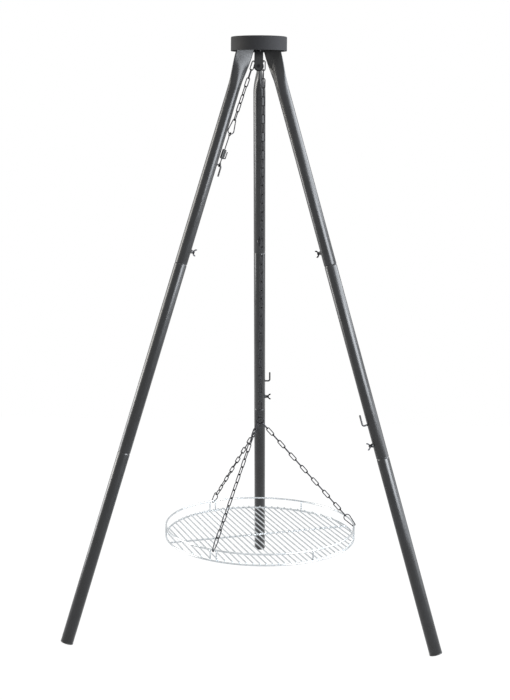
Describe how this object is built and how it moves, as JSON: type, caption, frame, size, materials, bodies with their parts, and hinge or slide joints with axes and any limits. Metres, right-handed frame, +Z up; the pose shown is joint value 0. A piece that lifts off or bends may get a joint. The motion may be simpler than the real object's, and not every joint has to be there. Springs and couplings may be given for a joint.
{
  "type": "tripod grill",
  "caption": "Tripod grill with plug-together tube legs, a round head with a pulley, and a round wire grate hung on a chain that is parked on a leg hook.",
  "frame": {"origin": "on the floor, in the middle of the footprint of the three feet", "axes": "+Z up; the back leg points to +Y and the left leg hook is on the -X side"},
  "size_m": [1.0742, 0.9355, 1.7149],
  "materials": {
    "powder_coat_black": "satin black powder coat on steel tube and sheet",
    "black_zinc_wire": "dark zinc-plated steel wire and fasteners",
    "bright_chromed_wire": "bright chromed steel wire",
    "moulded_black_plastic": "moulded matt black plastic"
  },
  "bodies": {
    "head": {"cap_shell": "powder_coat_black", "pulley_stud": "black_zinc_wire", "pulley_strap": "powder_coat_black", "pulley_axle": "black_zinc_wire", "tail_chain": "black_zinc_wire", "leg_bracket_left": "powder_coat_black", "pivot_bolt_left": "black_zinc_wire", "leg_bracket_right": "powder_coat_black", "pivot_bolt_right": "black_zinc_wire", "leg_bracket_back": "powder_coat_black", "pivot_bolt_back": "black_zinc_wire"},
    "pulley": {"pulley_wheel": "powder_coat_black"},
    "leg_left": {"upper_tube_left": "powder_coat_black", "chain_hook": "powder_coat_black", "tail_snap": "black_zinc_wire", "handle_wire": "black_zinc_wire", "handle_grip": "moulded_black_plastic", "handle_parking_hook": "black_zinc_wire"},
    "leg_left_middle": {"middle_tube_left": "powder_coat_black", "utensil_hook_left": "powder_coat_black"},
    "leg_left_lower": {"lower_tube_left": "powder_coat_black", "foot_plug_left": "moulded_black_plastic"},
    "wing_screw_upper_left": {"wing_screw_upper_left": "black_zinc_wire"},
    "wing_screw_lower_left": {"wing_screw_lower_left": "black_zinc_wire"},
    "leg_right": {"upper_tube_right": "powder_coat_black"},
    "leg_right_middle": {"middle_tube_right": "powder_coat_black", "utensil_hook_right": "powder_coat_black"},
    "leg_right_lower": {"lower_tube_right": "powder_coat_black", "foot_plug_right": "moulded_black_plastic"},
    "wing_screw_upper_right": {"wing_screw_upper_right": "black_zinc_wire"},
    "wing_screw_lower_right": {"wing_screw_lower_right": "black_zinc_wire"},
    "leg_back": {"upper_tube_back": "powder_coat_black"},
    "leg_back_middle": {"middle_tube_back": "powder_coat_black", "utensil_hook_back": "powder_coat_black"},
    "leg_back_lower": {"lower_tube_back": "powder_coat_black", "foot_plug_back": "moulded_black_plastic"},
    "wing_screw_upper_back": {"wing_screw_upper_back": "black_zinc_wire"},
    "wing_screw_lower_back": {"wing_screw_lower_back": "black_zinc_wire"},
    "chain_lead": {"lift_chain_lead_link": "black_zinc_wire"},
    "chain": {"lift_chain": "black_zinc_wire"},
    "chain_end": {"lift_chain_end_link": "black_zinc_wire"},
    "grate": {"hub_ring": "black_zinc_wire", "grate_ring": "bright_chromed_wire", "grate_rail": "bright_chromed_wire", "grate_bars": "bright_chromed_wire", "branch_chain_front_left": "black_zinc_wire", "grate_snap_front_left": "black_zinc_wire", "branch_chain_right": "black_zinc_wire", "grate_snap_right": "black_zinc_wire", "branch_chain_back_left": "black_zinc_wire", "grate_snap_back_left": "black_zinc_wire"},
    "tail_gate": {"tail_snap_gate": "black_zinc_wire"},
    "grate_gate_front_left": {"grate_snap_front_left_gate": "black_zinc_wire"},
    "grate_gate_right": {"grate_snap_right_gate": "black_zinc_wire"},
    "grate_gate_back_left": {"grate_snap_back_left_gate": "black_zinc_wire"}
  },
  "joints": [
    {"name": "leg_fold_left", "type": "hinge", "parent": "head", "child": "leg_left", "pos_m": [-0.03551, -0.1702, 1.68692], "axis": [0.5, -0.866, 0], "range_deg": [0, 3], "deforming": ["tail_chain"]},
    {"name": "leg_plug_upper_left", "type": "slide", "parent": "leg_left", "child": "leg_left_middle", "axis": [-0.2734, -0.1578, -0.9489], "range_m": [0, 0.05]},
    {"name": "leg_plug_lower_left", "type": "slide", "parent": "leg_left_middle", "child": "leg_left_lower", "axis": [-0.2734, -0.1578, -0.9489], "range_m": [0, 0.05]},
    {"name": "wing_turn_upper_left", "type": "hinge", "parent": "leg_left", "child": "wing_screw_upper_left", "pos_m": [-0.20105, -0.26578, 1.11228], "axis": [0.8218, 0.4744, -0.3156], "range_deg": [0, 360]},
    {"name": "wing_turn_lower_left", "type": "hinge", "parent": "leg_left_middle", "child": "wing_screw_lower_left", "pos_m": [-0.35452, -0.35438, 0.57959], "axis": [-0.2703, 0.9593, -0.0817], "range_deg": [0, 360]},
    {"name": "leg_fold_right", "type": "hinge", "parent": "head", "child": "leg_right", "pos_m": [0.03551, -0.1702, 1.68692], "axis": [0.5, 0.866, 0], "range_deg": [0, 3]},
    {"name": "leg_plug_upper_right", "type": "slide", "parent": "leg_right", "child": "leg_right_middle", "axis": [0.2734, -0.1578, -0.9489], "range_m": [0, 0.05]},
    {"name": "leg_plug_lower_right", "type": "slide", "parent": "leg_right_middle", "child": "leg_right_lower", "axis": [0.2734, -0.1578, -0.9489], "range_m": [0, 0.05]},
    {"name": "wing_turn_upper_right", "type": "hinge", "parent": "leg_right", "child": "wing_screw_upper_right", "pos_m": [0.20105, -0.26578, 1.11228], "axis": [-0.8218, 0.4744, -0.3156], "range_deg": [0, 360]},
    {"name": "wing_turn_lower_right", "type": "hinge", "parent": "leg_right_middle", "child": "wing_screw_lower_right", "pos_m": [0.35452, -0.35438, 0.57959], "axis": [-0.9112, -0.3585, -0.2029], "range_deg": [0, 360]},
    {"name": "leg_fold_back", "type": "hinge", "parent": "head", "child": "leg_back", "pos_m": [0, -0.1087, 1.68692], "axis": [-1, 0, 0], "range_deg": [0, 3]},
    {"name": "leg_plug_upper_back", "type": "slide", "parent": "leg_back", "child": "leg_back_middle", "axis": [0, 0.3156, -0.9489], "range_m": [0, 0.05]},
    {"name": "leg_plug_lower_back", "type": "slide", "parent": "leg_back_middle", "child": "leg_back_lower", "axis": [0, 0.3156, -0.9489], "range_m": [0, 0.05]},
    {"name": "wing_turn_upper_back", "type": "hinge", "parent": "leg_back", "child": "wing_screw_upper_back", "pos_m": [0, 0.08246, 1.11228], "axis": [0, -0.9489, -0.3156], "range_deg": [0, 360]},
    {"name": "wing_turn_lower_back", "type": "hinge", "parent": "leg_back_middle", "child": "wing_screw_lower_back", "pos_m": [0, 0.25966, 0.57959], "axis": [1, 0, 0], "range_deg": [0, 360]},
    {"name": "chain_swing_side", "type": "hinge", "parent": "head", "child": "chain_lead", "pos_m": [0.01402, -0.1497, 1.64462], "axis": [0, 1, 0], "range_deg": [-1.5, 1.5]},
    {"name": "chain_swing_ahead", "type": "hinge", "parent": "chain_lead", "child": "chain", "pos_m": [0.01402, -0.1497, 1.61987], "axis": [1, 0, 0], "range_deg": [-1.5, 1.5]},
    {"name": "grate_lift", "type": "slide", "parent": "chain", "child": "chain_end", "axis": [0, 0, 1], "range_m": [0, 0.22], "deforming": ["lift_chain"]},
    {"name": "grate_turn", "type": "hinge", "parent": "chain_end", "child": "grate", "pos_m": [0.01402, -0.1497, 0.59302], "axis": [0, 0, 1], "range_deg": [-20, 20]},
    {"name": "tail_gate_open", "type": "hinge", "parent": "leg_left", "child": "tail_gate", "pos_m": [-0.06442, -0.18355, 1.47026], "axis": [-0.506, 0.8623, -0.0211], "range_deg": [0, 25], "stiffness_Nm_per_rad": 0.03, "springref_deg": -11.46},
    {"name": "grate_gate_front_left_open", "type": "hinge", "parent": "grate", "child": "grate_gate_front_left", "pos_m": [-0.10768, -0.40369, 0.2801], "axis": [-0.9047, 0.4258, -0.0156], "range_deg": [0, 25], "stiffness_Nm_per_rad": 0.03, "springref_deg": -11.46},
    {"name": "grate_gate_right_open", "type": "hinge", "parent": "grate", "child": "grate_gate_right", "pos_m": [0.29929, -0.12928, 0.28011], "axis": [0.0713, -0.9975, -0.0017], "range_deg": [0, 25], "stiffness_Nm_per_rad": 0.03, "springref_deg": -11.46},
    {"name": "grate_gate_back_left_open", "type": "hinge", "parent": "grate", "child": "grate_gate_back_left", "pos_m": [-0.14181, 0.0858, 0.28012], "axis": [0.8317, 0.5552, 0.0052], "range_deg": [0, 25], "stiffness_Nm_per_rad": 0.03, "springref_deg": -11.46},
    {"name": "pulley_spin", "type": "hinge", "parent": "head", "child": "pulley", "pos_m": [0, -0.1497, 1.63242], "axis": [0, -1, 0], "range_deg": [0, 1080]}
  ],
  "couplings": [
    {"joint": "pulley_spin", "follows": "grate_lift", "rad_per_m": 81.967}
  ]
}
